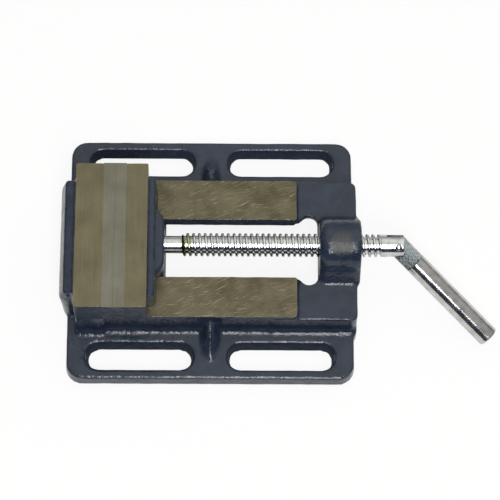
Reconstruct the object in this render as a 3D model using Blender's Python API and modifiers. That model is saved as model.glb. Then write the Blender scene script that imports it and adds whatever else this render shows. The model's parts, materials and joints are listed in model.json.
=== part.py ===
"""Drill press vise, 4 in class: slotted cast base, sliding jaw, lead screw with a folding handle.

Metres, +Z up. The origin lies on the underside, below the screw, in the plane where the jaws
meet. +X runs along the screw towards the handle.
"""

import math

import bmesh
import bpy

# Fits and finishes
SEAT_GAP = 0.0003          # between pieces that touch
RUNNING_GAP = 0.0003       # round a turning or sliding piece
CAST_EDGE = 0.0012         # broken edge of a casting
MACHINED_EDGE = 0.0005     # broken edge of a machined piece
CORNER_STEPS = 4
SMALL_STEPS = 20           # sides of a small turned shape
ROUND_STEPS = 32           # sides of a large one

# Base flange
BASE_LENGTH = 0.201
FLANGE_REACH = 0.0365              # from the sides of the jaws out to its edges
FLANGE_BEHIND_JAW = 0.00735        # from the back of the fixed jaw to its end
BASE_THICKNESS = 0.0125
BASE_CORNER = 0.012
BASE_DRAFT = 0.0008

# Four hold-down slots
SLOT_WIDTH = 0.0186
SLOT_CORNER = 0.0088
SLOT_DRAFT = 0.002
SLOT_BRIDGE = 0.024                # flange left between two slots of one side
SLOT_END_MARGIN = 0.0145
SLOT_SIDE_MARGIN = 0.0077

# Ways: the raised channel that the jaw slides on
WAY_HEIGHT = 0.0335
WAY_THICKNESS = 0.0125
WAYS_INSET = 0.002                 # from the sides of the jaws in to their sides
WAY_GAP = 0.042
WAY_WALL = 0.007
PAD_TO_BOSS = 0.0141
WAY_FILLET = 0.0045
WALL_DRAFT = math.radians(5)
CLAMP_WEB = 0.010
UNDERCUT_DRAFT = 0.0012

# End block and screw boss
BLOCK_STEP = 0.003
BLOCK_OVERHANG = 0.0013
BLOCK_SIDE_STEP = 0.0004
BLOCK_THICKNESS = 0.0060
END_WALL = 0.011
POCKET_WIDTH = 0.050
POCKET_RAMP = 0.006
POCKET_CORNER = 0.005
BOSS_RADIUS = 0.019
BOSS_LENGTH = 0.0297
BOSS_PROUD = 0.0020
BOSS_FACE_ROUND = 0.003
BOSS_FLARE = 0.0062
BOSS_ROUND = 0.007
BOSS_NARROWING = 0.0052
FLANK_EDGE = 0.0015

# Stiffening rib between the slots
RIB_DROP = 0.0035                  # from the top of the ways
RIB_END_MARGIN = 0.0125            # from its foot to the edge of the flange
RIB_RIDGE = 0.0035
RIB_FOOT = 0.0075
RIB_SWEEP = 1.25
RIB_LENGTHS = 5

# Jaws
JAW_WIDTH = 0.105
JAW_RISE = 0.0265                  # above the ways
JAW_BLOCK = 0.0192
MOVING_BLOCK = 0.0150
PLATE_THICKNESS = 0.0075
BACK_RIB_INSET = 0.0105            # from the sides of the jaws
BACK_RIB_DROP = 0.0025             # from the top of the jaws
FIXED_RIDGE_DROP = 0.015
FIXED_RIDGE_REACH = 0.0078
FIXED_FOOT_REACH = 0.012
FIXED_FOOT_CORNER = (0.008, 0.019)      # along X, along Y
FIXED_RIDGE_CORNER = (0.003, 0.003)
FIXED_CORE_RISE = 0.0025           # above the ways
FIXED_CORE_WALL = 0.007
MOVING_FOOT_REACH = 0.0062
MOVING_FOOT_RISE = 0.0045          # above the ways
MOVING_FOOT_CORNER = 0.0043
MOVING_RIDGE_REACH = 0.0028
MOVING_RIDGE_CORNER = 0.002
NOSE_BOSS_WIDTH = 0.034
NOSE_BOSS_RISE = 0.0085            # above the screw's axis
NOSE_BOSS_REACH = 0.0113
NOSE_BOSS_FLARE = 0.008
NOSE_BOSS_ROOT = 0.005
NOSE_BOSS_EDGE = 0.0018

# Plate screws, countersunk
PLATE_SCREW_INSET = 0.0225         # from the sides of the jaws
PLATE_SCREW_RADIUS = 0.004
PLATE_SCREW_LENGTH = 0.020
PLATE_SCREW_HEAD = 0.0072
PLATE_SCREW_SUNK = 0.0004
PLATE_SCREW_KEY = 0.005
PLATE_SCREW_KEY_DEPTH = 0.0026

# Lead screw, trapezoidal thread
SCREW_ABOVE_WAYS = 0.0065
SCREW_RADIUS = 0.008
THREAD_PITCH = 0.004
THREAD_DEPTH = 0.0019
THREAD_CREST = 0.0014
THREAD_FLANK = math.radians(15)
THREAD_STEPS = 20          # edges round the screw
THREAD_CLEARANCE = 0.00025
THREAD_OVERRUN = 0.0132            # past the outer face of the boss, with the jaws closed
THREAD_LEAD_IN = 0.0015
SHANK_RADIUS = 0.00775
NOSE_RADIUS = 0.006
NOSE_END_WALL = 0.00655            # jaw casting left in front of the nose
NOSE_SHOWN = 0.01175               # between the nose boss and the thread
GROOVE_SETBACK = 0.00725           # from the face of the nose boss
GROOVE_DEPTH = 0.0016

# Retaining pins in the groove of the nose
PIN_RADIUS = 0.0025
PIN_RISE = 0.004                   # above the screw's axis

# Keeper plate under the ways
GUIDE_SETBACK = 0.00105            # from the face of the jaw casting
KEEPER_LENGTH = 0.026
KEEPER_SIDE_ROOM = 0.0095
KEEPER_THICKNESS = 0.008
KEEPER_BOLT_SETBACK = 0.007        # from the start of the guide block
KEEPER_BOLT_SPACING = 0.024
BOLT_RADIUS = 0.004
BOLT_DEPTH = 0.011
BOLT_HEAD_ACROSS = 0.013
BOLT_HEAD_HEIGHT = 0.0053
BOLT_HEAD_EDGE = 0.0009
WASHER_THICKNESS = 0.0020
WASHER_RIM = 0.0026
WASHER_SPLIT = 0.0012

# Folding handle
SHANK_LENGTH = 0.0125              # from the thread to the hinge pin
FORK_END = 0.0043
HINGE_PIN_RADIUS = 0.00225
HINGE_PIN_PROUD = 0.0003
TONGUE_THICKNESS = 0.006
TONGUE_LENGTH = 0.0168
HANDLE_RADIUS = 0.0075
HANDLE_LENGTH = 0.0912
HANDLE_ROUND = 0.0015
HANDLE_FOLD = math.radians(45)

# Widths and heights that follow from the sizes above
BASE_WIDTH = JAW_WIDTH + 2 * FLANGE_REACH
WAYS_WIDTH = JAW_WIDTH - 2 * WAYS_INSET
BACK_RIB_WIDTH = JAW_WIDTH - 2 * BACK_RIB_INSET
KEEPER_WIDTH = WAYS_WIDTH - 2 * (WAY_WALL + KEEPER_SIDE_ROOM)
PLATE_SCREW_SPACING = JAW_WIDTH - 2 * PLATE_SCREW_INSET
SLOT_LENGTH = (BASE_LENGTH - SLOT_BRIDGE) / 2 - SLOT_END_MARGIN
SLOT_SPACING_ALONG = SLOT_LENGTH + SLOT_BRIDGE
SLOT_SPACING_ACROSS = BASE_WIDTH - 2 * SLOT_SIDE_MARGIN - SLOT_WIDTH
RIB_RUN = (BASE_WIDTH - WAYS_WIDTH) / 2 - RIB_END_MARGIN
RIB_TOP = WAY_HEIGHT - RIB_DROP
BLOCK_TOP = WAY_HEIGHT - BLOCK_STEP
WAY_UNDERSIDE = WAY_HEIGHT - WAY_THICKNESS
SLIDE_HEIGHT = WAY_HEIGHT + RUNNING_GAP
SCREW_HEIGHT = WAY_HEIGHT + SCREW_ABOVE_WAYS
JAW_TOP = WAY_HEIGHT + JAW_RISE
BACK_RIB_TOP = JAW_TOP - BACK_RIB_DROP
FIXED_RIDGE_HEIGHT = JAW_TOP - FIXED_RIDGE_DROP
FIXED_CORE_HEIGHT = WAY_HEIGHT + FIXED_CORE_RISE
MOVING_FOOT_HEIGHT = WAY_HEIGHT + MOVING_FOOT_RISE
NOSE_BOSS_TOP = SCREW_HEIGHT + NOSE_BOSS_RISE
PIN_TOP = SCREW_HEIGHT + PIN_RISE
PLATE_SCREW_HEIGHT = (SLIDE_HEIGHT + JAW_TOP) / 2
KEEPER_TOP = WAY_UNDERSIDE - RUNNING_GAP
KEEPER_BOTTOM = KEEPER_TOP - KEEPER_THICKNESS
THREAD_ROOT = SCREW_RADIUS - THREAD_DEPTH
GROOVE_RADIUS = NOSE_RADIUS - GROOVE_DEPTH

# Places along the screw, from the jaw plane
JAW_SEAT = PLATE_THICKNESS + 1.5 * SEAT_GAP     # face of each jaw casting
FIXED_BACK = -JAW_SEAT - JAW_BLOCK
MOVING_BACK = JAW_SEAT + MOVING_BLOCK
NOSE_BOSS_END = MOVING_BACK + NOSE_BOSS_REACH
GUIDE_START = JAW_SEAT + GUIDE_SETBACK
KEEPER_BOLT_PLACE = GUIDE_START + KEEPER_BOLT_SETBACK
BASE_START = FIXED_BACK - FLANGE_BEHIND_JAW
BASE_MIDDLE = BASE_START + BASE_LENGTH / 2
BASE_END = BASE_START + BASE_LENGTH
BLOCK_END = BASE_END + BLOCK_OVERHANG
BOSS_OUTER = BLOCK_END + BOSS_PROUD
BOSS_INNER = BOSS_OUTER - BOSS_LENGTH
WAY_PAD_END = BOSS_INNER - PAD_TO_BOSS
NOSE_START = JAW_SEAT + NOSE_END_WALL
GROOVE_PLACE = NOSE_BOSS_END - GROOVE_SETBACK
THREAD_START = NOSE_BOSS_END + NOSE_SHOWN
THREAD_END = BOSS_OUTER + THREAD_OVERRUN
PIVOT_PLACE = THREAD_END + SHANK_LENGTH


def handle_roll():
    """The turn of the screw at which the end of the folded handle lies on the table."""
    reach = HANDLE_LENGTH - HANDLE_ROUND
    lean = math.atan2(HANDLE_RADIUS, reach)
    dip = math.asin((SCREW_HEIGHT - SEAT_GAP) / math.hypot(reach, HANDLE_RADIUS)) - lean
    return math.asin(math.sin(dip) / math.sin(HANDLE_FOLD))


def clear_scene():
    for thing in list(bpy.data.objects):
        bpy.data.objects.remove(thing, do_unlink=True)


def new_collection(name, hidden=False):
    group = bpy.data.collections.new(name)
    bpy.context.scene.collection.children.link(group)
    group.hide_render = hidden
    return group


def paint(name, colour, roughness, metallic):
    material = bpy.data.materials.new(name)
    material.use_nodes = True
    shader = material.node_tree.nodes["Principled BSDF"]
    shader.inputs["Base Color"].default_value = (*colour, 1)
    shader.inputs["Roughness"].default_value = roughness
    shader.inputs["Metallic"].default_value = metallic
    return material


def add_object(name, bm, material=None):
    """Makes an object of a bmesh: a part if it has a material, a helper if not."""
    bmesh.ops.recalc_face_normals(bm, faces=bm.faces)
    mesh = bpy.data.meshes.new(name)
    bm.to_mesh(mesh)
    bm.free()
    thing = bpy.data.objects.new(name, mesh)
    if material:
        mesh.materials.append(material)
        parts.objects.link(thing)
    else:
        thing.hide_render = True
        thing.display_type = "WIRE"
        cutters.objects.link(thing)
    return thing


def loft(name, rings, material=None):
    """A closed body through rings of equally many points, capped at both ends."""
    bm = bmesh.new()
    loops = [[bm.verts.new(point) for point in ring] for ring in rings]
    for low, high in zip(loops, loops[1:]):
        for i in range(len(low)):
            j = (i + 1) % len(low)
            bm.faces.new((low[i], low[j], high[j], high[i]))
    bm.faces.new(reversed(loops[0]))
    bm.faces.new(loops[-1])
    return add_object(name, bm, material)


def box(name, low, high, material=None, edge=0.0):
    (x0, y0, z0), (x1, y1, z1) = low, high
    thing = loft(name, [[(x0, y0, z), (x1, y0, z), (x1, y1, z), (x0, y1, z)] for z in (z0, z1)], material)
    if edge:
        bevel = thing.modifiers.new("Broken edges", "BEVEL")
        bevel.width = edge
        bevel.segments = 2
        bevel.limit_method = "ANGLE"
    return thing


def turned(name, profile, steps, material=None):
    """A body turned about local Z. The profile is (radius, height), from the top down."""
    bm = bmesh.new()
    points = [bm.verts.new((radius, 0, height)) for radius, height in profile]
    for upper, lower in zip(points, points[1:]):
        bm.edges.new((upper, lower))
    thing = add_object(name, bm, material)
    screw = thing.modifiers.new("Turned", "SCREW")
    screw.axis = "Z"
    screw.angle = 2 * math.pi
    screw.steps = steps
    screw.render_steps = steps
    screw.use_merge_vertices = True
    screw.merge_threshold = 0.00001
    return thing


def rod(name, radius, bottom, top, steps, material=None):
    return turned(name, [(0, top), (radius, top), (radius, bottom), (0, bottom)], steps, material)


def along_x(thing, y, z, x=0.0):
    """Lays a turned body down, so that its local Z is +X."""
    thing.rotation_euler = (0, math.pi / 2, 0)
    thing.location = (x, y, z)
    return thing


def boolean(thing, operation, *others):
    for other in others:
        step = thing.modifiers.new(other.name, "BOOLEAN")
        step.operation = operation
        step.object = other
        step.solver = "EXACT"


def smooth(thing, angle=30):
    """Rounds the shading, and keeps the edges sharper than the angle."""
    thing.data.shade_smooth()
    thing.data.set_sharp_from_angle(angle=math.radians(angle))


def plan_ring(x0, x1, half, z, corner0, corner1=None, y=0.0, steps=CORNER_STEPS):
    """A rectangle seen from above, with elliptical corners (along X, along Y) at each end."""
    corner1 = corner1 or corner0
    ring = []
    for quarter, (end, side) in enumerate(((1, -1), (1, 1), (-1, 1), (-1, -1))):
        reach, depth = corner1 if end > 0 else corner0
        middle_x = x1 - reach if end > 0 else x0 + reach
        middle_y = y + side * (half - depth)
        for i in range(steps + 1):
            turn = (quarter - 1 + i / steps) * math.pi / 2
            ring.append((middle_x + reach * math.cos(turn), middle_y + depth * math.sin(turn), z))
    return ring


def round_corner(radius):
    return radius, radius


def wall_half(z, top_half):
    """Half width of a drafted wall with a fillet where it meets the flange."""
    half = top_half + (WAY_HEIGHT - z) * math.tan(WALL_DRAFT)
    rise = (z - BASE_THICKNESS) / WAY_FILLET
    if rise < 1:
        half += WAY_FILLET * (1 - math.sqrt(1 - (1 - max(rise, 0)) ** 2))
    return half


def wall_heights(top, edge):
    """Heights of the rings of a drafted wall: the fillet, then the edge at its top."""
    fillet = [BASE_THICKNESS + WAY_FILLET * (1 - math.cos(i * math.pi / 8)) for i in range(5)]
    return [0.0, *fillet, top - edge, top]


def channel_length(name, x0, x1, top, top_half, corner0, corner1):
    """One length of the raised channel, solid."""
    rings = []
    for z in wall_heights(top, CAST_EDGE / 2):
        inset = CAST_EDGE / 2 if z == top else 0
        half = wall_half(z, top_half) - inset
        rings.append(plan_ring(x0, x1 - inset, half, z, round_corner(corner0), round_corner(corner1)))
    return loft(name, rings)


def flange(material):
    x0, x1 = BASE_START, BASE_END
    rings = []
    levels = ((0, 0), (BASE_THICKNESS - CAST_EDGE, BASE_DRAFT),
              (BASE_THICKNESS - CAST_EDGE * 0.3, BASE_DRAFT + CAST_EDGE * 0.3),
              (BASE_THICKNESS, BASE_DRAFT + CAST_EDGE))
    for z, inset in levels:
        corner = round_corner(BASE_CORNER - inset)
        half = BASE_WIDTH / 2 - inset
        rings.append(plan_ring(x0 + inset, x1 - inset, half, z, corner, steps=6))
    return loft("base_casting", rings, material)


def slot_cutters():
    """Drafted slots, wider at the top, with a broken upper edge."""
    levels = ((-BASE_THICKNESS, 2 * SLOT_DRAFT), (BASE_THICKNESS - CAST_EDGE, 0),
              (BASE_THICKNESS + CAST_EDGE, -2 * CAST_EDGE))
    for i, (end, side) in enumerate(((-1, -1), (1, -1), (1, 1), (-1, 1))):
        middle = BASE_MIDDLE + end * SLOT_SPACING_ALONG / 2
        y = side * SLOT_SPACING_ACROSS / 2
        rings = []
        for z, inset in levels:
            half_length = SLOT_LENGTH / 2 - inset
            half_width = SLOT_WIDTH / 2 - inset
            corner = round_corner(SLOT_CORNER - inset)
            rings.append(plan_ring(middle - half_length, middle + half_length, half_width, z, corner, y=y))
        yield loft(f"slot_cutter_{i + 1}", rings)


def soft_step(share):
    return share ** 2 * (3 - 2 * share)


def gap_cutter():
    """The opening between the ways, which widens in a soft step in front of the boss."""
    narrow, wide = WAY_GAP / 2, POCKET_WIDTH / 2
    start, ramp = CLAMP_WEB / 2, WAY_PAD_END + MACHINED_EDGE
    turns = [i * math.pi / 2 / CORNER_STEPS for i in range(CORNER_STEPS + 1)]
    side = [(start + WAY_FILLET * (1 - math.cos(turn)), narrow - WAY_FILLET * (1 - math.sin(turn)))
            for turn in turns]
    for i in range(CORNER_STEPS + 1):
        share = i / CORNER_STEPS
        side.append((ramp + POCKET_RAMP * share, narrow + (wide - narrow) * soft_step(share)))
    side += [(BOSS_INNER - POCKET_CORNER * (1 - math.sin(turn)),
              wide - POCKET_CORNER * (1 - math.cos(turn))) for turn in turns]
    outline = side + [(x, -y) for x, y in reversed(side)]
    rings = [[(x, y, z) for x, y in outline] for z in (WAY_UNDERSIDE / 2, JAW_TOP)]
    return loft("gap_cutter", rings)


def hollow_cutters():
    """The open underside between the side walls, and the cores under the end block and the fixed jaw."""
    half = WAYS_WIDTH / 2 - WAY_WALL
    corner = round_corner(WAY_WALL)
    start, end = CLAMP_WEB / 2, BLOCK_END - END_WALL
    draft = UNDERCUT_DRAFT
    rings = [plan_ring(start, end - inset, half - inset, z, corner)
             for z, inset in ((-WAY_WALL, 0), (0, 0), (WAY_UNDERSIDE, draft))]
    yield loft("underside_cutter", rings)
    rings = [plan_ring(WAY_PAD_END - draft, end - 2 * draft, half - 2 * draft, z, corner)
             for z in (WAY_UNDERSIDE - CAST_EDGE, BLOCK_TOP - BLOCK_THICKNESS)]
    yield loft("block_core_cutter", rings)
    start, end = FIXED_BACK - FIXED_RIDGE_REACH + FIXED_CORE_WALL, -CLAMP_WEB / 2
    rings = []
    for z, front in ((-WAY_WALL, end), (0, end), (WAY_UNDERSIDE, end),
                     (FIXED_CORE_HEIGHT, -JAW_SEAT - FIXED_CORE_WALL)):
        inset = draft * max(z, 0) / WAY_UNDERSIDE
        corner = round_corner(WAY_WALL / 2)
        rings.append(plan_ring(start + inset, front, half - WAY_WALL - inset, z, corner))
    yield loft("jaw_core_cutter", rings)


def fixed_jaw_body():
    """The fixed jaw, flush with the side walls below it."""
    rings = []
    for z in (*wall_heights(WAY_HEIGHT, CAST_EDGE), JAW_TOP - MACHINED_EDGE, JAW_TOP):
        inset = MACHINED_EDGE if z == JAW_TOP else 0
        half = JAW_WIDTH / 2 if z > WAY_HEIGHT else wall_half(z, JAW_WIDTH / 2)
        rings.append(plan_ring(FIXED_BACK + inset, -JAW_SEAT, half - inset, z, round_corner(CAST_EDGE),
                               round_corner(MACHINED_EDGE)))
    return loft("fixed_jaw_body", rings)


def fixed_back_rib():
    """The thick back of the fixed jaw, which runs out past the flange and down to the table."""
    half = BACK_RIB_WIDTH / 2
    foot = FIXED_BACK - FIXED_FOOT_REACH
    ridge = FIXED_BACK - FIXED_RIDGE_REACH
    front = (FIXED_BACK - JAW_SEAT) / 2
    levels = ((0, foot, half, FIXED_FOOT_CORNER),
              (BASE_THICKNESS / 2, foot, half, FIXED_FOOT_CORNER),
              (FIXED_RIDGE_HEIGHT - CAST_EDGE, ridge, half, FIXED_RIDGE_CORNER),
              (FIXED_RIDGE_HEIGHT + CAST_EDGE, ridge + CAST_EDGE, half, FIXED_RIDGE_CORNER),
              (BACK_RIB_TOP, FIXED_BACK - CAST_EDGE / 2, half - CAST_EDGE, (CAST_EDGE, WAY_FILLET)))
    rings = [plan_ring(x0, front, y_half, z, corner, round_corner(CAST_EDGE))
             for z, x0, y_half, corner in levels]
    return loft("fixed_back_rib", rings)


def boss_outline():
    """Radii and places along the boss, from its outer face to its rounded inner end."""
    outline = []
    for i in range(CORNER_STEPS):
        turn = i * math.pi / 2 / CORNER_STEPS
        outline.append((BOSS_RADIUS - BOSS_FACE_ROUND * (1 - math.sin(turn)),
                        BOSS_OUTER - BOSS_PROUD * (1 - math.cos(turn))))
    for i in range(CORNER_STEPS):
        turn = i * math.pi / 2 / CORNER_STEPS
        outline.append((BOSS_RADIUS - BOSS_NARROWING * (1 - math.cos(turn)),
                        BOSS_INNER + BOSS_ROUND * (1 - math.sin(turn))))
    return outline


def boss_body():
    """The round boss for the screw, rounded at both ends."""
    profile = [(0, BOSS_OUTER), *boss_outline(), (0, BOSS_INNER)]
    return along_x(turned("boss_body", profile, ROUND_STEPS + 8), 0, SCREW_HEIGHT)


def boss_saddle():
    """The sloping flanks that carry the boss down into the block."""
    foot = BOSS_RADIUS + BOSS_FLARE
    flank = [(foot, WAY_UNDERSIDE + WAY_FILLET), (foot, BLOCK_TOP),
             (foot - FLANK_EDGE / 2, BLOCK_TOP + FLANK_EDGE / 3),
             (foot - FLANK_EDGE, BLOCK_TOP + FLANK_EDGE),
             (BOSS_RADIUS - CAST_EDGE / 4, SCREW_HEIGHT + CAST_EDGE)]
    rings = []
    for radius, x in boss_outline():
        squeeze = radius / BOSS_RADIUS
        ring = [(x, y * squeeze, z) for y, z in flank]
        rings.append(ring + [(x, -y * squeeze, z) for y, z in reversed(flank)])
    return loft("boss_saddle", rings)


def side_rib(side):
    """A rounded gusset that sweeps from the channel wall down to the flange, between two slots."""
    start = WAYS_WIDTH / 2 - WAY_WALL / 2
    reach = RIB_RUN + WAY_WALL / 2
    rings = []
    for i in range(RIB_LENGTHS + 1):
        share = i / RIB_LENGTHS
        y = side * (start + reach * share)
        rise = (RIB_TOP - BASE_THICKNESS) * (1 - share) ** RIB_SWEEP + CAST_EDGE * (1 - share)
        half_ring = [(RIB_FOOT, BASE_THICKNESS / 2)]
        for j in range(CORNER_STEPS):
            height = j / CORNER_STEPS
            half = RIB_RIDGE * math.sqrt(1 - height ** 3) + (RIB_FOOT - RIB_RIDGE) * (1 - height) ** 3
            half_ring.append((half, BASE_THICKNESS - CAST_EDGE / 4 + rise * height))
        ring = half_ring + [(0, BASE_THICKNESS + rise)] + [(-x, z) for x, z in reversed(half_ring)]
        rings.append([(BASE_MIDDLE + x, y, z) for x, z in ring])
    return loft("side_rib_left" if side > 0 else "side_rib_right", rings)


def plate_screw_holes(name, mouth, direction):
    """Tapped holes for the plate screws, drawn as plain bores."""
    for i, side in enumerate((-1, 1)):
        depth = PLATE_SCREW_LENGTH + SEAT_GAP
        ends = sorted((mouth - direction * PLATE_SCREW_SUNK, mouth + direction * depth))
        hole = rod(f"{name}_{i + 1}", PLATE_SCREW_RADIUS + SEAT_GAP, ends[0], ends[1], SMALL_STEPS)
        yield along_x(hole, side * PLATE_SCREW_SPACING / 2, PLATE_SCREW_HEIGHT)


def base_casting(material):
    base = flange(material)
    way_half = WAYS_WIDTH / 2
    ways = channel_length("ways_body", FIXED_BACK + WAY_WALL, WAY_PAD_END, WAY_HEIGHT, way_half,
                          CAST_EDGE, CAST_EDGE * 2)
    block = channel_length("end_block", WAY_PAD_END - BOSS_RADIUS, BLOCK_END, BLOCK_TOP,
                           way_half + BLOCK_SIDE_STEP, CAST_EDGE, WAY_FILLET)
    boolean(base, "UNION", ways, block, fixed_jaw_body(), fixed_back_rib(), boss_saddle(), boss_body(),
            side_rib(1), side_rib(-1))
    bore = rod("boss_bore_cutter", SCREW_RADIUS + THREAD_CLEARANCE, BOSS_INNER - BOSS_ROUND,
               BOSS_OUTER + BOSS_PROUD, ROUND_STEPS)
    boolean(base, "DIFFERENCE", gap_cutter(), *hollow_cutters(), *slot_cutters(),
            along_x(bore, 0, SCREW_HEIGHT), *plate_screw_holes("fixed_tapping", -SEAT_GAP / 2, -1))
    return base


def jaw_plate(name, x0, material):
    """A jaw plate with two countersunk holes in its face."""
    x1 = x0 + PLATE_THICKNESS
    half = JAW_WIDTH / 2
    plate = box(name, (x0, -half, SLIDE_HEIGHT), (x1, half, JAW_TOP), material, MACHINED_EDGE)
    facing = 1 if x0 < 0 else -1
    face = x1 if facing > 0 else x0
    slope = PLATE_SCREW_HEAD - PLATE_SCREW_RADIUS
    mouth = PLATE_SCREW_HEAD + SEAT_GAP
    shank = PLATE_SCREW_RADIUS + SEAT_GAP
    through = -2 * PLATE_THICKNESS
    for i, side in enumerate((-1, 1)):
        profile = [(0, PLATE_SCREW_SUNK), (mouth, PLATE_SCREW_SUNK), (mouth, -PLATE_SCREW_SUNK),
                   (shank, -PLATE_SCREW_SUNK - slope), (shank, through), (0, through)]
        hole = turned(f"{name}_sink_{i + 1}", profile, SMALL_STEPS)
        hole.rotation_euler = (0, facing * math.pi / 2, 0)
        hole.location = (face, side * PLATE_SCREW_SPACING / 2, PLATE_SCREW_HEIGHT)
        boolean(plate, "DIFFERENCE", hole)
    return plate


def plate_screw(name, face, facing, side, material):
    """A countersunk screw with a hexagon socket. Its head lies just under the plate's face."""
    top = -PLATE_SCREW_SUNK
    tip = -PLATE_SCREW_LENGTH
    slope = PLATE_SCREW_HEAD - PLATE_SCREW_RADIUS
    profile = [(0, top), (PLATE_SCREW_HEAD, top), (PLATE_SCREW_RADIUS, top - slope),
               (PLATE_SCREW_RADIUS, tip + MACHINED_EDGE), (PLATE_SCREW_RADIUS - MACHINED_EDGE, tip),
               (0, tip)]
    screw = turned(name, profile, SMALL_STEPS, material)
    key = rod(f"{name}_socket", PLATE_SCREW_KEY / math.sqrt(3), top - PLATE_SCREW_KEY_DEPTH, -top, 6)
    for thing in (screw, key):
        thing.rotation_euler = (0, facing * math.pi / 2, 0)
        thing.location = (face, side * PLATE_SCREW_SPACING / 2, PLATE_SCREW_HEIGHT)
    boolean(screw, "DIFFERENCE", key)
    return screw


def jaw_back_rib():
    """The thick back of the sliding jaw."""
    half = BACK_RIB_WIDTH / 2 + CAST_EDGE
    foot = MOVING_BACK + MOVING_FOOT_REACH
    middle = (MOVING_BACK + JAW_SEAT) / 2
    levels = ((SLIDE_HEIGHT, foot, half, MOVING_FOOT_CORNER),
              (MOVING_FOOT_HEIGHT, foot, half, MOVING_FOOT_CORNER),
              (BACK_RIB_TOP - WAY_FILLET, MOVING_BACK + MOVING_RIDGE_REACH, half, MOVING_RIDGE_CORNER),
              (BACK_RIB_TOP, MOVING_BACK + CAST_EDGE / 2, half - CAST_EDGE, CAST_EDGE / 2))
    rings = [plan_ring(middle, x1, y_half, z, round_corner(CAST_EDGE), round_corner(corner))
             for z, x1, y_half, corner in levels]
    return loft("jaw_back_rib", rings)


def nose_boss():
    """The flared boss that takes the nose of the screw."""
    half = NOSE_BOSS_WIDTH / 2
    root = MOVING_BACK + NOSE_BOSS_ROOT
    side = [((MOVING_BACK + JAW_SEAT) / 2, half + NOSE_BOSS_FLARE)]
    for i in range(CORNER_STEPS + 2):
        left = 1 - i / (CORNER_STEPS + 1)
        side.append((NOSE_BOSS_END - NOSE_BOSS_EDGE / 4 - (NOSE_BOSS_END - root) * left ** 2,
                     half + NOSE_BOSS_FLARE * left ** 1.5))
    side.append((NOSE_BOSS_END, half - NOSE_BOSS_EDGE))
    rings = []
    for z, shrink in ((SLIDE_HEIGHT, 0), (NOSE_BOSS_TOP - NOSE_BOSS_EDGE, 0), (NOSE_BOSS_TOP, CAST_EDGE)):
        outline = [(x - shrink, y - shrink) for x, y in side]
        outline += [(x, -y) for x, y in reversed(outline)]
        rings.append([(x, y, z) for x, y in outline])
    return loft("nose_boss", rings)


def moving_jaw(material):
    half = JAW_WIDTH / 2
    jaw = box("moving_jaw", (JAW_SEAT, -half, SLIDE_HEIGHT), (MOVING_BACK, half, JAW_TOP), material,
              MACHINED_EDGE)
    guide_half = WAY_GAP / 2 - RUNNING_GAP
    guide = box("guide_block", (GUIDE_START, -guide_half, WAY_UNDERSIDE),
                (NOSE_BOSS_END - SEAT_GAP, guide_half, SLIDE_HEIGHT + CAST_EDGE), edge=MACHINED_EDGE)
    boolean(jaw, "UNION", jaw_back_rib(), nose_boss(), guide)
    bore = rod("nose_bore_cutter", NOSE_RADIUS + RUNNING_GAP, NOSE_START - SEAT_GAP,
               NOSE_BOSS_END + NOSE_RADIUS, ROUND_STEPS)
    boolean(jaw, "DIFFERENCE", along_x(bore, 0, SCREW_HEIGHT),
            *plate_screw_holes("moving_tapping", SEAT_GAP / 2, 1))
    for i, side in enumerate((-1, 1)):
        pin_hole = rod(f"pin_hole_{i + 1}", PIN_RADIUS + SEAT_GAP, WAY_UNDERSIDE - PIN_RADIUS,
                       PIN_TOP + SEAT_GAP, SMALL_STEPS)
        pin_hole.location = (GROOVE_PLACE, side * pin_offset(), 0)
        bolt_hole = rod(f"bolt_hole_{i + 1}", BOLT_RADIUS + SEAT_GAP, WAY_UNDERSIDE - BOLT_RADIUS,
                        WAY_UNDERSIDE + BOLT_DEPTH + SEAT_GAP, SMALL_STEPS)
        bolt_hole.location = (KEEPER_BOLT_PLACE, side * KEEPER_BOLT_SPACING / 2, 0)
        boolean(jaw, "DIFFERENCE", pin_hole, bolt_hole)
    return jaw


def pin_offset():
    """Where a retaining pin stands beside the screw's axis, tangent to the groove."""
    return GROOVE_RADIUS + RUNNING_GAP + PIN_RADIUS


def retaining_pin(name, side, material):
    bottom = WAY_UNDERSIDE + MACHINED_EDGE
    profile = [(0, PIN_TOP), (PIN_RADIUS - MACHINED_EDGE, PIN_TOP), (PIN_RADIUS, PIN_TOP - MACHINED_EDGE),
               (PIN_RADIUS, bottom + MACHINED_EDGE), (PIN_RADIUS - MACHINED_EDGE, bottom), (0, bottom)]
    pin = turned(name, profile, SMALL_STEPS, material)
    pin.location = (GROOVE_PLACE, side * pin_offset(), 0)
    smooth(pin)
    return pin


def keeper_plate(material):
    """The plate under the ways that keeps the jaw down."""
    half = KEEPER_WIDTH / 2
    start = GUIDE_START - MACHINED_EDGE
    plate = box("keeper_plate", (start, -half, KEEPER_BOTTOM), (start + KEEPER_LENGTH, half, KEEPER_TOP),
                material, CAST_EDGE / 2)
    for i, side in enumerate((-1, 1)):
        hole = rod(f"keeper_hole_{i + 1}", BOLT_RADIUS + SEAT_GAP, KEEPER_BOTTOM - BOLT_RADIUS,
                   KEEPER_TOP + BOLT_RADIUS, SMALL_STEPS)
        hole.location = (KEEPER_BOLT_PLACE, side * KEEPER_BOLT_SPACING / 2, 0)
        boolean(plate, "DIFFERENCE", hole)
    return plate


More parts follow.
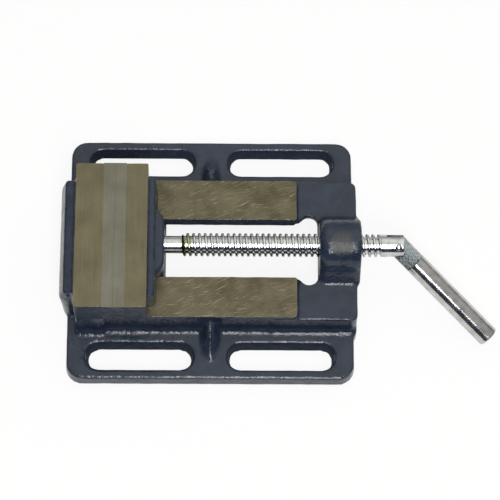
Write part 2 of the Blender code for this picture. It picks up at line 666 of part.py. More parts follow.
def keeper_washer(name, side, material):
    """A split spring washer under the bolt's head."""
    top = KEEPER_BOTTOM - SEAT_GAP
    inner, outer = BOLT_RADIUS + SEAT_GAP, BOLT_RADIUS + WASHER_RIM
    bottom = top - WASHER_THICKNESS
    profile = [(inner, top), (outer, top), (outer, bottom), (inner, bottom), (inner, top)]
    washer = turned(name, profile, SMALL_STEPS, material)
    split = box(f"{name}_split", (0, -WASHER_SPLIT / 2, bottom - WASHER_RIM),
                (outer * 2, WASHER_SPLIT / 2, top + WASHER_RIM))
    for thing in (washer, split):
        thing.location = (KEEPER_BOLT_PLACE, side * KEEPER_BOLT_SPACING / 2, 0)
    boolean(washer, "DIFFERENCE", split)
    return washer


def keeper_bolt(name, side, material):
    """A hexagon bolt, driven from below."""
    head_top = KEEPER_BOTTOM - 2 * SEAT_GAP - WASHER_THICKNESS
    head_bottom = head_top - BOLT_HEAD_HEIGHT
    tip = WAY_UNDERSIDE + BOLT_DEPTH
    corner = BOLT_HEAD_ACROSS / math.sqrt(3)
    rings = []
    for z, radius in ((head_bottom, corner - BOLT_HEAD_EDGE), (head_bottom + BOLT_HEAD_EDGE, corner),
                      (head_top, corner)):
        turns = [i * math.pi / 3 for i in range(6)]
        rings.append([(radius * math.cos(turn), radius * math.sin(turn), z) for turn in turns])
    bolt = loft(name, rings, material)
    profile = [(0, tip), (BOLT_RADIUS - MACHINED_EDGE, tip), (BOLT_RADIUS, tip - MACHINED_EDGE),
               (BOLT_RADIUS, head_top - MACHINED_EDGE), (0, head_top - MACHINED_EDGE)]
    shank = turned(f"{name}_shank", profile, SMALL_STEPS)
    for thing in (bolt, shank):
        thing.location = (KEEPER_BOLT_PLACE, side * KEEPER_BOLT_SPACING / 2, 0)
    boolean(bolt, "UNION", shank)
    return bolt


def thread_profile():
    """Places and radii over one pitch of the thread: root, flank, crest and flank."""
    flank = THREAD_DEPTH * math.tan(THREAD_FLANK)
    root = THREAD_PITCH - THREAD_CREST - 2 * flank
    return [(0, THREAD_ROOT), (root, THREAD_ROOT), (root + flank, SCREW_RADIUS),
            (root + flank + THREAD_CREST, SCREW_RADIUS), (THREAD_PITCH, THREAD_ROOT)]


def thread_column(turn):
    """Places and radii of the thread's edges at one turn round the screw, held between its two ends."""
    profile = thread_profile()
    first = THREAD_START + (turn - 1) * THREAD_PITCH
    column = []
    for pitch in range(math.ceil((THREAD_END - THREAD_START) / THREAD_PITCH) + 2):
        for rise, radius in profile[:-1]:
            place = first + pitch * THREAD_PITCH + rise
            held = min(max(place, THREAD_START), THREAD_END)
            if held != place:
                radius = radius_at(profile, (held - first) % THREAD_PITCH)
            column.append((held, min(radius, SCREW_RADIUS - THREAD_LEAD_IN + held - THREAD_START)))
    return column


def radius_at(profile, rise):
    for (rise0, radius0), (rise1, radius1) in zip(profile, profile[1:]):
        if rise <= rise1:
            return radius0 + (radius1 - radius0) * (rise - rise0) / (rise1 - rise0)


def nose_outline():
    """Places and radii of the nose, from its end past the groove to the thread."""
    edge = 2 * MACHINED_EDGE
    groove_start = GROOVE_PLACE - PIN_RADIUS - RUNNING_GAP
    groove_end = GROOVE_PLACE + PIN_RADIUS + RUNNING_GAP
    return [(NOSE_START, 0), (NOSE_START, NOSE_RADIUS - edge), (NOSE_START + edge, NOSE_RADIUS),
            (groove_start, NOSE_RADIUS), (groove_start, GROOVE_RADIUS), (groove_end, GROOVE_RADIUS),
            (groove_end, NOSE_RADIUS), (THREAD_START, NOSE_RADIUS)]


def shank_outline():
    edge = 2 * MACHINED_EDGE
    end = PIVOT_PLACE + FORK_END
    return [(THREAD_END + MACHINED_EDGE, SHANK_RADIUS), (end - edge, SHANK_RADIUS),
            (end, SHANK_RADIUS - edge), (end, 0)]


def lead_screw(material):
    """Nose with its groove, right-hand thread, and the forked shank that carries the handle."""
    bm = bmesh.new()
    columns = []
    for i in range(THREAD_STEPS + 1):
        turn = i / THREAD_STEPS
        across, down = math.cos(2 * math.pi * turn), math.sin(2 * math.pi * turn)
        outline = nose_outline() + thread_column(turn) + shank_outline()
        columns.append([bm.verts.new((radius * across, radius * down, x)) for x, radius in outline])
    for here, there in zip(columns, columns[1:]):
        for k in range(len(here) - 1):
            bm.faces.new((here[k], there[k], there[k + 1], here[k + 1]))
    bmesh.ops.remove_doubles(bm, verts=bm.verts, dist=0.00001)
    screw = along_x(add_object("lead_screw", bm, material), 0, SCREW_HEIGHT)
    slot_half = TONGUE_THICKNESS / 2 + RUNNING_GAP
    across = 2 * SHANK_RADIUS
    slot = box("fork_cutter", (-HANDLE_RADIUS - 2 * RUNNING_GAP, -across, -slot_half),
               (across, across, slot_half))
    eye = rod("fork_eye_cutter", HINGE_PIN_RADIUS + SEAT_GAP / 2, -across, across, SMALL_STEPS)
    for thing in (slot, eye):
        thing.parent = handle_hinge
    boolean(screw, "DIFFERENCE", slot, eye)
    return screw


def hinge_pin(material):
    """The rivet through the fork, slightly domed at both ends."""
    reach = SHANK_RADIUS + HINGE_PIN_PROUD
    dome = HINGE_PIN_PROUD * 2
    profile = [(0, reach), (HINGE_PIN_RADIUS - dome, reach), (HINGE_PIN_RADIUS, reach - dome)]
    profile += [(radius, -height) for radius, height in reversed(profile)]
    pin = turned("hinge_pin", profile, SMALL_STEPS, material)
    pin.parent = handle_hinge
    smooth(pin)
    return pin


def handle(material):
    """A round bar whose rounded end is milled flat on both sides to a tongue."""
    turns = [i * math.pi / 2 / CORNER_STEPS for i in range(CORNER_STEPS + 1)]
    profile = [(0, HANDLE_LENGTH)]
    profile += [(HANDLE_RADIUS - HANDLE_ROUND * (1 - math.sin(turn)),
                 HANDLE_LENGTH - HANDLE_ROUND * (1 - math.cos(turn))) for turn in turns]
    profile += [(HANDLE_RADIUS * math.cos(turn), -HANDLE_RADIUS * math.sin(turn)) for turn in turns[:-1]]
    profile.append((0, -HANDLE_RADIUS))
    bar = turned("handle", profile, ROUND_STEPS, material)
    bar.rotation_euler = (0, math.pi / 2, -HANDLE_FOLD)
    bar.parent = handle_hinge
    across = 2 * HANDLE_RADIUS
    for name, side in (("tongue_cutter_top", 1), ("tongue_cutter_bottom", -1)):
        low, high = sorted((side * TONGUE_THICKNESS / 2, side * across))
        flat = box(name, (-across, -across, low), (TONGUE_LENGTH, across, high))
        flat.rotation_euler = (0, 0, -HANDLE_FOLD)
        flat.parent = handle_hinge
        boolean(bar, "DIFFERENCE", flat)
    eye = rod("tongue_eye_cutter", HINGE_PIN_RADIUS + RUNNING_GAP, -across, across, SMALL_STEPS)
    eye.parent = handle_hinge
    boolean(bar, "DIFFERENCE", eye)
    return bar


clear_scene()
parts = new_collection("drill_press_vise")
cutters = new_collection("cutters", hidden=True)

handle_hinge = bpy.data.objects.new("handle_hinge", None)
handle_hinge.location = (PIVOT_PLACE, 0, SCREW_HEIGHT)
handle_hinge.rotation_euler = (handle_roll(), 0, 0)
parts.objects.link(handle_hinge)

enamel = paint("slate_blue_enamel", (0.058, 0.072, 0.093), 0.42, 0.0)
plate_steel = paint("ground_jaw_steel", (0.20, 0.19, 0.145), 0.45, 1.0)
zinc = paint("zinc_plated_steel", (0.62, 0.62, 0.60), 0.25, 1.0)
chrome_bar = paint("chromed_handle_steel", (0.66, 0.66, 0.67), 0.16, 1.0)
black_steel = paint("black_oxide_steel", (0.035, 0.035, 0.04), 0.45, 0.8)
plain_steel = paint("plain_steel", (0.33, 0.32, 0.30), 0.4, 1.0)

smooth(base_casting(enamel))
smooth(moving_jaw(enamel))
fixed_face, moving_face = -SEAT_GAP / 2, SEAT_GAP / 2
jaw_plate("fixed_jaw_plate", fixed_face - PLATE_THICKNESS, plate_steel)
jaw_plate("moving_jaw_plate", moving_face, plate_steel)
for number, across in ((1, -1), (2, 1)):
    smooth(plate_screw(f"fixed_plate_screw_{number}", fixed_face, 1, across, black_steel))
    smooth(plate_screw(f"moving_plate_screw_{number}", moving_face, -1, across, black_steel))
    retaining_pin(f"screw_retaining_pin_{number}", across, plain_steel)
    keeper_washer(f"keeper_spring_washer_{number}", across, zinc)
    keeper_bolt(f"keeper_bolt_{number}", across, zinc)
keeper_plate(plain_steel)
smooth(lead_screw(zinc))
hinge_pin(zinc)
smooth(handle(chrome_bar))
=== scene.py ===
import json
import math

import bmesh
import bpy
from mathutils import Matrix, Vector


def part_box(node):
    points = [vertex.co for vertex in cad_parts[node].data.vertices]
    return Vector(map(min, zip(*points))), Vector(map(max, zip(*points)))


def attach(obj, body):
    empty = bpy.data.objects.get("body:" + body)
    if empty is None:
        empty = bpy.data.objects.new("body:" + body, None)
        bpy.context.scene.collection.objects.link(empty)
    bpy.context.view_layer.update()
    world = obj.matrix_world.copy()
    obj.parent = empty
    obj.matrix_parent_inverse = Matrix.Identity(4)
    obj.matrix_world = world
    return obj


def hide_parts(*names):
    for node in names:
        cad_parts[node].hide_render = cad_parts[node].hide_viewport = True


# A closed drill press vise on a pale table: enamelled castings, ground ways and jaws,
# a zinc plated screw and a chromed handle that is folded down.
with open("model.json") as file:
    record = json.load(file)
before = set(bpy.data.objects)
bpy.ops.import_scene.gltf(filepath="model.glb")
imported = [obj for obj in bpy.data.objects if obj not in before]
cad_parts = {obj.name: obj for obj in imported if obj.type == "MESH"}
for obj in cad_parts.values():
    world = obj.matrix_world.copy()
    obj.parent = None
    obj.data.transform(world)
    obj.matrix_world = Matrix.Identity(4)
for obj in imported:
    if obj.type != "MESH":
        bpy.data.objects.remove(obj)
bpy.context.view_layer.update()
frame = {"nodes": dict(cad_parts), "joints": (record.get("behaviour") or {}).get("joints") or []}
nodes = frame["nodes"]
joints = {joint["name"]: joint for joint in frame["joints"]}
print("frame loaded:", len(nodes), "nodes")

weld = 1e-6                     # vertices nearer than this are one
noiseSpan = (0.35, 0.65)        # most values of a noise texture lie between these
wideSpan = (0.3, 0.7)


def mm(size):
    return size / 1000


def linear(hexColour):
    parts = [int(hexColour[i:i + 2], 16) / 255 for i in (1, 3, 5)]
    return (*[p / 12.92 if p <= 0.04045 else ((p + 0.055) / 1.055) ** 2.4 for p in parts], 1)


def addNode(tree, kind, values=None, links=None, stops=None, **settings):
    # values go to input sockets, links come from other nodes, stops are (place, colour) of a ramp
    node = tree.nodes.new("ShaderNode" + kind)
    for name, value in settings.items():
        setattr(node, name, value)
    for socket, value in (values or {}).items():
        node.inputs[socket].default_value = value
    for socket, source in (links or {}).items():
        output = source.outputs[0] if hasattr(source, "outputs") else source
        tree.links.new(output, node.inputs[socket])
    for i, (place, colour) in enumerate(stops or []):
        elements = node.color_ramp.elements
        element = elements[i] if i < 2 else elements.new(place)
        element.position = place
        element.color = colour if len(colour) == 4 else (*colour, 1)      # plain or with alpha
    return node


def startMaterial(name):
    material = bpy.data.materials.new(name)
    material.use_nodes = True
    tree = material.node_tree
    shader = tree.nodes["Principled BSDF"]
    place = addNode(tree, "TexCoord").outputs["Object"]
    return material, tree, shader, place


def plug(tree, shader, colour, roughness, normal):
    for socket, source in (("Base Color", colour), ("Roughness", roughness), ("Normal", normal)):
        output = source.outputs[0] if hasattr(source, "outputs") else source
        tree.links.new(output, shader.inputs[socket])


def settle(piece):
    # the modifiers' result becomes the piece's own mesh
    bpy.context.view_layer.update()
    graph = bpy.context.evaluated_depsgraph_get()
    shape = bpy.data.meshes.new_from_object(piece.evaluated_get(graph))
    piece.modifiers.clear()
    piece.data = shape
    return piece


def newPiece(name, bm, materials=()):
    bmesh.ops.recalc_face_normals(bm, faces=bm.faces)
    shape = bpy.data.meshes.new(name)
    bm.to_mesh(shape)
    bm.free()
    for material in materials:
        shape.materials.append(material)
    piece = bpy.data.objects.new(name, shape)
    bpy.context.scene.collection.objects.link(piece)
    return piece


def cut(piece, *others, operation="DIFFERENCE"):
    # Boolean with the manifold solver, which needs closed meshes; the cutters are then removed
    for other in others:
        step = piece.modifiers.new("cut", "BOOLEAN")
        step.operation = operation
        step.object = other
        step.solver = "MANIFOLD"
    settle(piece)
    for other in others:
        bpy.data.objects.remove(other)
    return piece


def smoothShade(piece, angle=35):
    piece.data.shade_smooth()
    piece.data.set_sharp_from_angle(angle=math.radians(angle))
    return piece


def dress(piece, *materials):
    # a cut piece starts again with these materials, and the first is on all its faces
    piece.data.materials.clear()
    for material in materials:
        piece.data.materials.append(material)
    for face in piece.data.polygons:
        face.material_index = 0


def breakEdges(piece, width, angle=40, segments=2, slot=-1):
    edges = piece.modifiers.new("edges", "BEVEL")
    edges.width = width
    edges.segments = segments
    edges.material = slot
    edges.limit_method = "ANGLE"
    edges.angle_limit = math.radians(angle)
    return settle(piece)


def block(name, low, high):
    bm = bmesh.new()
    size, middle = Vector(high) - Vector(low), (Vector(low) + Vector(high)) / 2
    bmesh.ops.create_cube(bm, size=1, matrix=Matrix.Translation(middle) @ Matrix.Diagonal((*size, 1)))
    return newPiece(name, bm)


def turned(name, profile, steps, matrix=None):
    # profile is (place along local X, radius), and a radius of 0 closes the end
    bm = bmesh.new()
    rings = []
    for place, radius in profile:
        turns = [2 * math.pi * i / steps for i in range(steps)] if radius else [0]
        rings.append([bm.verts.new((place, radius * math.cos(t), radius * math.sin(t))) for t in turns])
    for first, second in zip(rings, rings[1:]):
        for i in range(steps):
            j = (i + 1) % steps
            if len(first) == 1:
                bm.faces.new((first[0], second[i], second[j]))
            elif len(second) == 1:
                bm.faces.new((first[i], first[j], second[0]))
            else:
                bm.faces.new((first[i], first[j], second[j], second[i]))
    if matrix:
        bm.transform(matrix)
    return newPiece(name, bm)


def dropSlivers(piece):
    # the cuts leave a few faces without area
    bm = bmesh.new()
    bm.from_mesh(piece.data)
    bmesh.ops.dissolve_degenerate(bm, dist=2 * weld, edges=bm.edges)
    bm.to_mesh(piece.data)
    bm.free()


def finishPiece(piece, body, slot, *replaced):
    dropSlivers(piece)
    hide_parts(*replaced)
    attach(piece, body)
    return piece


# Camera: the photograph's view, from high above the near side

view = {
    "aim": (0.0936, 0.0109, 0.0),
    "distance": 1.626,
    "elevation": 70.0,
    "azimuth": -92.14,
    "roll": 2.33,
    "lens": 165.16,             # mm, as is the sensor's width
    "sensor": 36.0,
}


def towards(elevation, azimuth):
    rise, around = math.radians(elevation), math.radians(azimuth)
    return Vector((math.cos(rise) * math.cos(around), math.cos(rise) * math.sin(around), math.sin(rise)))


def makeCamera():
    back = towards(view["elevation"], view["azimuth"])
    level = Vector((0, 0, 1)).cross(back).normalized()
    upright = back.cross(level)
    roll = math.radians(view["roll"])
    right = level * math.cos(roll) + upright * math.sin(roll)
    lens = bpy.data.cameras.new("photoCamera")
    lens.lens = view["lens"]
    lens.sensor_width = view["sensor"]
    camera = bpy.data.objects.new("photoCamera", lens)
    bpy.context.scene.collection.objects.link(camera)
    turn = Matrix((right, back.cross(right), back)).transposed()
    camera.matrix_world = Matrix.Translation(Vector(view["aim"]) + back * view["distance"]) @ turn.to_4x4()
    bpy.context.scene.camera = camera


makeCamera()

# Light and table

studio = {
    "floorSize": 30.0,
    "floorWhite": "#f8f8f7",
    "floorShare": 0.87,        # how much of the table's white is its own where the camera sees it
    "floorInMetal": 0.1,       # and where metal mirrors it, so the shadow under the vise is kept
    # the room by height, brighter towards the far side and a little towards the handle
    "room": ((0.18, (0.034, 0.036, 0.055)), (0.36, (0.09, 0.09, 0.11)), (0.50, (0.36, 0.36, 0.36)),
             (0.73, (0.52, 0.515, 0.495)), (0.92, (0.93, 0.925, 0.86)), (1.0, (1.08, 1.07, 0.98))),
    "lean": (0.12, 0.45, 1.0),  # share of X, Y and Z in that height
    "leanSum": 1.1,
    "strip": (44.0, 80.0),      # a tall softbox behind the camera: its lower and upper elevation
    "stripAzimuth": -78.0,
    "stripDistance": 2.2,
    "stripWidth": 0.4,
    "skyStrength": 1.08,
    "stripPower": 25.0,
}


def makeStrip():
    low, high = [towards(rise, studio["stripAzimuth"]) * studio["stripDistance"] for rise in studio["strip"]]
    middle, length = (low + high) / 2, high - low
    back, upward = middle.normalized(), length.normalized()
    lamp = bpy.data.lights.new("softbox", "AREA")
    lamp.shape = "RECTANGLE"
    lamp.size, lamp.size_y = studio["stripWidth"], length.length
    lamp.energy = studio["stripPower"]
    softbox = bpy.data.objects.new("softbox", lamp)
    bpy.context.scene.collection.objects.link(softbox)
    turn = Matrix((upward.cross(back), upward, back)).transposed()
    softbox.matrix_world = Matrix.Translation(middle) @ turn.to_4x4()


def makeStudio():
    world = bpy.data.worlds.new("studio")
    bpy.context.scene.world = world
    world.use_nodes = True
    tree = world.node_tree
    tree.nodes.clear()
    direction = addNode(tree, "TexCoord")
    height = addNode(tree, "VectorMath", {1: [share / studio["leanSum"] for share in studio["lean"]]},
                     {0: direction.outputs["Generated"]}, operation="DOT_PRODUCT")
    room = addNode(tree, "ValToRGB", links={0: height.outputs["Value"]}, stops=studio["room"])
    sky = addNode(tree, "Background", {"Strength": studio["skyStrength"]}, {"Color": room})
    addNode(tree, "OutputWorld", links={"Surface": sky})

    table, tree, shader, place = startMaterial("paleTable")
    tree.nodes.remove(shader)
    matt = addNode(tree, "BsdfDiffuse", {"Color": linear(studio["floorWhite"])})
    path = addNode(tree, "LightPath")
    straight, through = path.outputs["Is Camera Ray"], path.outputs["Is Transmission Ray"]
    seen = addNode(tree, "Math", links={0: straight, 1: through}, operation="MAXIMUM")
    seen = addNode(tree, "Math", {1: studio["floorShare"]}, {0: seen}, operation="MULTIPLY")
    share = addNode(tree, "Math", {1: studio["floorInMetal"]}, {0: path.outputs["Is Glossy Ray"], 2: seen},
                    operation="MULTIPLY_ADD", use_clamp=True)
    own = addNode(tree, "Emission", {"Color": (1, 1, 1, 1), "Strength": 1.0})
    mixed = addNode(tree, "MixShader", links={0: share, 1: matt, 2: own})
    tree.links.new(mixed.outputs[0], tree.nodes["Material Output"].inputs["Surface"])
    bm = bmesh.new()
    bmesh.ops.create_grid(bm, size=studio["floorSize"] / 2)
    floor = newPiece("table_top", bm, [table])


makeStudio()
makeStrip()
print("camera, light and table made")

# Materials

enamel = {
    "body": "#222b3a",
    "thin": "#2c3647",
    "roughness": (0.13, 0.26),
    "gleam": 0.4,
    "insideRoughness": (0.6, 0.8),      # the spray hardly reaches into the slots, so they stay dull
    "insideGleam": 0.1,
    "endRoughness": (0.35, 0.55),       # work and hands rub the ends of the jaws
    "endGleam": 0.25,
    "run": mm(9),               # thick and thin places of the paint
    "ripple": mm(3.2),          # the skin of the casting under it
    "grain": mm(1.1),           # foundry sand is about 0.3 mm, drawn coarser so that it shows
    "depths": (mm(0.45), mm(0.3), mm(0.06)),    # how far these three stand out
    "rubAndHighlightPlace": (0.156, -0.006, 0.060),     # the top of the boss has a dull, rubbed patch, drawn lighter where the softbox's highlight falls, so its colour is partly painted highlight
    "rubAndHighlightSize": mm(13),
    # a lighter olive-grey: partly the rubbed paint, partly a painted highlight
    "rubbedPaintAndHighlight": "#474a44",
    "rubRoughness": 0.5,
    "rubAndHighlightRise": (0.12, 0.25),    # noise values at which the patch starts and is full
    "rubAndHighlightCover": 0.7,
}


def sprayedEnamel(name, roughness, gleam):
    # Glossy enamel sprayed on a sand casting: the paint softens the grain, so highlights break into
    # short wavy lines along fillets and edges, and it lies a little darker where it is thick.
    material, tree, shader, place = startMaterial(name)
    run = addNode(tree, "TexNoise", {"Scale": 1 / enamel["run"], "Detail": 3.0}, {"Vector": place})
    ripple = addNode(tree, "TexNoise", {"Scale": 1 / enamel["ripple"], "Detail": 2.0}, {"Vector": place})
    grain = addNode(tree, "TexNoise", {"Scale": 1 / enamel["grain"], "Detail": 3.0}, {"Vector": place})
    colour = addNode(tree, "ValToRGB", links={0: run},
                     stops=[(0.35, linear(enamel["body"])), (0.7, linear(enamel["thin"]))])
    low, high = roughness
    gloss = addNode(tree, "MapRange", {"From Min": noiseSpan[0], "From Max": noiseSpan[1],
                                       "To Min": low, "To Max": high},
                    {"Value": ripple})
    # the dull patch on the boss: rougher paint, and a lighter colour that is partly a painted highlight where
    # the softbox's reflection falls
    size, spot = enamel["rubAndHighlightSize"], enamel["rubAndHighlightPlace"]
    near = addNode(tree, "Mapping", {"Location": [-place / size for place in spot], "Scale": [1 / size] * 3},
                   {"Vector": place})
    ball = addNode(tree, "TexGradient", links={"Vector": near}, gradient_type="SPHERICAL")
    both = addNode(tree, "Math", links={0: ball.outputs["Fac"], 1: grain}, operation="MULTIPLY")
    start, full = enamel["rubAndHighlightRise"]
    rubAndHighlight = addNode(tree, "MapRange", {"From Min": start, "From Max": full, "To Max": enamel["rubAndHighlightCover"]},
                  {"Value": both})
    colour = addNode(tree, "Mix", {"B": linear(enamel["rubbedPaintAndHighlight"])}, {"Factor": rubAndHighlight, "A": colour},
                     data_type="RGBA")
    gloss = addNode(tree, "Mix", {"B": enamel["rubRoughness"]}, {"Factor": rubAndHighlight, "A": gloss},
                    data_type="FLOAT")
    bumps = None
    for height, depth in zip((run, ripple, grain), enamel["depths"]):
        under = {"Normal": bumps} if bumps else {}
        bumps = addNode(tree, "Bump", {"Strength": 1.0, "Distance": depth}, {"Height": height, **under})
    plug(tree, shader, colour.outputs["Result"], gloss, bumps)
    shader.inputs["IOR"].default_value = 1.5
    shader.inputs["Specular IOR Level"].default_value = gleam
    return material


ground = {
    "tops": ("#68624f", "#7c755f"),
    "plates": ("#706e61", "#817f74"),
    "roughness": (0.46, 0.58),
    "stripe": mm(0.8),          # lines of the grinding wheel, drawn some ten times as coarse as they are
    "stripeLength": mm(45),
    "stain": mm(14),
    "stainShare": 0.45,
    "lineDepth": mm(0.04),
    "lineStrength": 0.4,
}


def groundIron(name, dark, light):
    # Surface ground across the jaws and left bare under a film of rust preventive: brownish, with
    # fine parallel lines from the wheel and cloudy stains.
    material, tree, shader, place = startMaterial(name)
    along = addNode(tree, "Mapping", {"Scale": (1 / ground["stripe"], 1 / ground["stripeLength"], 1)},
                    {"Vector": place})
    lines = addNode(tree, "TexNoise", {"Scale": 1.0, "Detail": 4.0, "Roughness": 0.6}, {"Vector": along})
    stain = addNode(tree, "TexNoise", {"Scale": 1 / ground["stain"], "Detail": 5.0}, {"Vector": place})
    both = addNode(tree, "Mix", {"Factor": ground["stainShare"]}, {"A": lines, "B": stain}, data_type="FLOAT")
    colour = addNode(tree, "ValToRGB", links={0: both}, stops=[(0.38, linear(dark)), (0.62, linear(light))])
    low, high = ground["roughness"]
    gloss = addNode(tree, "MapRange", {"From Min": noiseSpan[0], "From Max": noiseSpan[1],
                                       "To Min": low, "To Max": high},
                    {"Value": lines})
    bumps = addNode(tree, "Bump", {"Strength": ground["lineStrength"], "Distance": ground["lineDepth"]},
                    {"Height": lines})
    plug(tree, shader, colour, gloss, bumps)
    shader.inputs["Metallic"].default_value = 1.0
    return material


milled = {
    "body": ("#5b5645", "#6c6654"),
    "mark": "#a39c86",
    "roughness": (0.5, 0.36),
    "feed": mm(1.7),            # spacing of the cutter's marks, drawn wider than the real 0.5 mm
    # middles of the arcs that the cutter leaves as it comes and as it goes
    "arcs": ((0.135, -0.150), (-0.060, -0.130)),
    "patch": mm(11),
    "scratch": mm(0.7),
    "scratchLength": mm(14),
    "scratchTurns": (math.radians(-28), math.radians(-6)),
    # noise values at which arcs, patches and scratches start and are full, and how much they cover
    "arcRise": (0.6, 1.0),
    "patchRise": (0.5, 0.72),
    "patchCover": 0.35,
    "scratchRise": (0.62, 0.74),
    "scratchCover": 0.8,
    "markDepth": mm(0.05),
    "markStrength": 0.5,
}


def faceMilledIron():
    # Cast iron faced with a wide cutter: long shallow arcs that show only in patches, a few bright
    # scratches from the jaw's sliding, darker oily clouds. Bare, under old rust preventive.
    look = milled
    material, tree, shader, place = startMaterial("face_milled_cast_iron")
    cloud = addNode(tree, "TexNoise", {"Scale": 1 / ground["stain"], "Detail": 6.0}, {"Vector": place})
    body = addNode(tree, "ValToRGB", links={0: cloud}, stops=[(0.36, linear(look["body"][0])),
                                                              (0.62, linear(look["body"][1]))])
    marks = None
    for number, middle in enumerate(look["arcs"]):
        moved = addNode(tree, "Mapping", {"Location": (-middle[0], -middle[1], 0)}, {"Vector": place})
        rings = math.pi / (10 * look["feed"])       # a wave texture of scale 1 has a period of pi / 10 m
        arc = addNode(tree, "TexWave", {"Scale": rings, "Distortion": 3.0, "Detail": 4.0,
                                        "Detail Scale": 1.0, "Detail Roughness": 0.7},
                      {"Vector": moved}, wave_type="RINGS", rings_direction="Z")
        shown = addNode(tree, "Mapping", {"Location": (number, 0, 0)}, {"Vector": place})
        patch = addNode(tree, "TexNoise", {"Scale": 1 / look["patch"], "Detail": 4.0}, {"Vector": shown})
        start, full = look["patchRise"]
        patch = addNode(tree, "MapRange", {"From Min": start, "From Max": full, "To Max": look["patchCover"]},
                        {"Value": patch})
        start, full = look["arcRise"]
        sharp = addNode(tree, "MapRange", {"From Min": start, "From Max": full},
                        {"Value": arc.outputs["Fac"]})
        layer = addNode(tree, "Math", links={0: sharp, 1: patch}, operation="MULTIPLY")
        along = addNode(tree, "Mapping", {"Rotation": (0, 0, look["scratchTurns"][number])},
                        {"Vector": place})
        long = addNode(tree, "Mapping", {"Scale": (1 / look["scratchLength"], 1 / look["scratch"], 1)},
                       {"Vector": along})
        scratch = addNode(tree, "TexNoise", {"Scale": 1.0, "Detail": 2.0, "Distortion": 0.6},
                          {"Vector": long})
        start, full = look["scratchRise"]
        cuts = addNode(tree, "MapRange", {"From Min": start, "From Max": full, "To Max": look["scratchCover"]},
                       {"Value": scratch})
        layer = addNode(tree, "Math", links={0: layer, 1: cuts}, operation="MAXIMUM")
        marks = addNode(tree, "Math", links={0: marks, 1: layer}, operation="MAXIMUM") if marks else layer
    colour = addNode(tree, "Mix", {"B": linear(look["mark"])}, {"Factor": marks, "A": body}, data_type="RGBA")
    gloss = addNode(tree, "MapRange", {"To Min": look["roughness"][0], "To Max": look["roughness"][1]},
                    {"Value": marks})
    bumps = addNode(tree, "Bump", {"Strength": look["markStrength"], "Distance": look["markDepth"]},
                    {"Height": marks})
    plug(tree, shader, colour.outputs["Result"], gloss, bumps)
    shader.inputs["Metallic"].default_value = 1.0
    return material


def platedSteel(name, dark, light, roughness, lump, depth):
    # Electroplate on turned steel: bright, slightly wavy from the turning and polishing under it,
    # so the bands of light wander a little.
    material, tree, shader, place = startMaterial(name)
    cloud = addNode(tree, "TexNoise", {"Scale": 1 / lump, "Detail": 4.0}, {"Vector": place})
    colour = addNode(tree, "ValToRGB", links={0: cloud},
                     stops=list(zip(noiseSpan, (linear(dark), linear(light)))))
    gloss = addNode(tree, "MapRange", {"From Min": wideSpan[0], "From Max": wideSpan[1],
                                       "To Min": roughness[0], "To Max": roughness[1]}, {"Value": cloud})
    bumps = addNode(tree, "Bump", {"Strength": 1.0, "Distance": depth}, {"Height": cloud})
    plug(tree, shader, colour, gloss, bumps)
    shader.inputs["Metallic"].default_value = 1.0
    return material


grease = {
    "colour": "#77761c",
    "start": mm(45.4),
    "full": mm(46),
    "end": mm(62),
    "clot": mm(2.2),
    "rise": (0.18, 0.5),        # noise values at which it starts and is full
    "cover": 0.85,
}


def greasedThread():
    # Bright zinc plate whose first turns still carry yellow-green grease in clots.
    material = platedSteel("bright_zinc_plated_thread", "#b0b4b5", "#d2d5d5", (0.13, 0.22), mm(5), mm(0.03))
    tree = material.node_tree
    shader = tree.nodes["Principled BSDF"]
    place = addNode(tree, "TexCoord").outputs["Object"]
    split = addNode(tree, "SeparateXYZ", links={0: place})
    rise = addNode(tree, "MapRange", {"From Min": grease["start"], "From Max": grease["full"]},
                   {"Value": split.outputs["X"]})
    fall = addNode(tree, "MapRange", {"From Min": grease["end"], "From Max": grease["full"]},
                   {"Value": split.outputs["X"]})
    fade = addNode(tree, "Math", links={0: rise, 1: fall}, operation="MULTIPLY")
    clots = addNode(tree, "TexNoise", {"Scale": 1 / grease["clot"], "Detail": 3.0}, {"Vector": place})
    amount = addNode(tree, "Math", links={0: fade, 1: clots}, operation="MULTIPLY")
    start, full = grease["rise"]
    cover = addNode(tree, "MapRange", {"From Min": start, "From Max": full, "To Max": grease["cover"]},
                    {"Value": amount})
    clean = shader.inputs["Base Color"].links[0].from_socket
    colour = addNode(tree, "Mix", {"B": linear(grease["colour"])}, {"Factor": cover, "A": clean},
                     data_type="RGBA")
    tree.links.new(colour.outputs["Result"], shader.inputs["Base Color"])
    return material


enamelPaint = sprayedEnamel("sprayed_enamel_on_sand_casting", enamel["roughness"], enamel["gleam"])
thinPaint = sprayedEnamel("thin_enamel_inside_openings", enamel["insideRoughness"], enamel["insideGleam"])
endPaint = sprayedEnamel("rubbed_enamel_on_jaw_ends", enamel["endRoughness"], enamel["endGleam"])
milledWays = faceMilledIron()
groundTops = groundIron("ground_cast_iron", *ground["tops"])
groundPlates = groundIron("ground_hardened_steel", *ground["plates"])
zincThread = greasedThread()
zincPlate = platedSteel("bright_zinc_plate", "#b0b4b4", "#d4d7d6", (0.13, 0.22), mm(5), mm(0.03))
dullZinc = platedSteel("dull_zinc_on_forged_steel", "#4e5555", "#7b8283", (0.35, 0.55), mm(1.6), mm(0.3))
chromePlate = platedSteel("bright_plate_on_bar", "#b4b3b1", "#cfcecc", (0.14, 0.24), mm(7), mm(0.15))
wornEdge = platedSteel("burnished_iron_edge", "#8f8873", "#cbc4b0", (0.28, 0.45), mm(3), mm(0.1))
blackOxide = platedSteel("black_oxide_on_steel", "#26262a", "#38383c", (0.35, 0.5), mm(2), mm(0.03))
plainSteel = platedSteel("bare_turned_steel", "#8e8b85", "#aaa7a0", (0.28, 0.42), mm(2), mm(0.03))
print("materials made")

# Castings: cast, enamelled, then ground

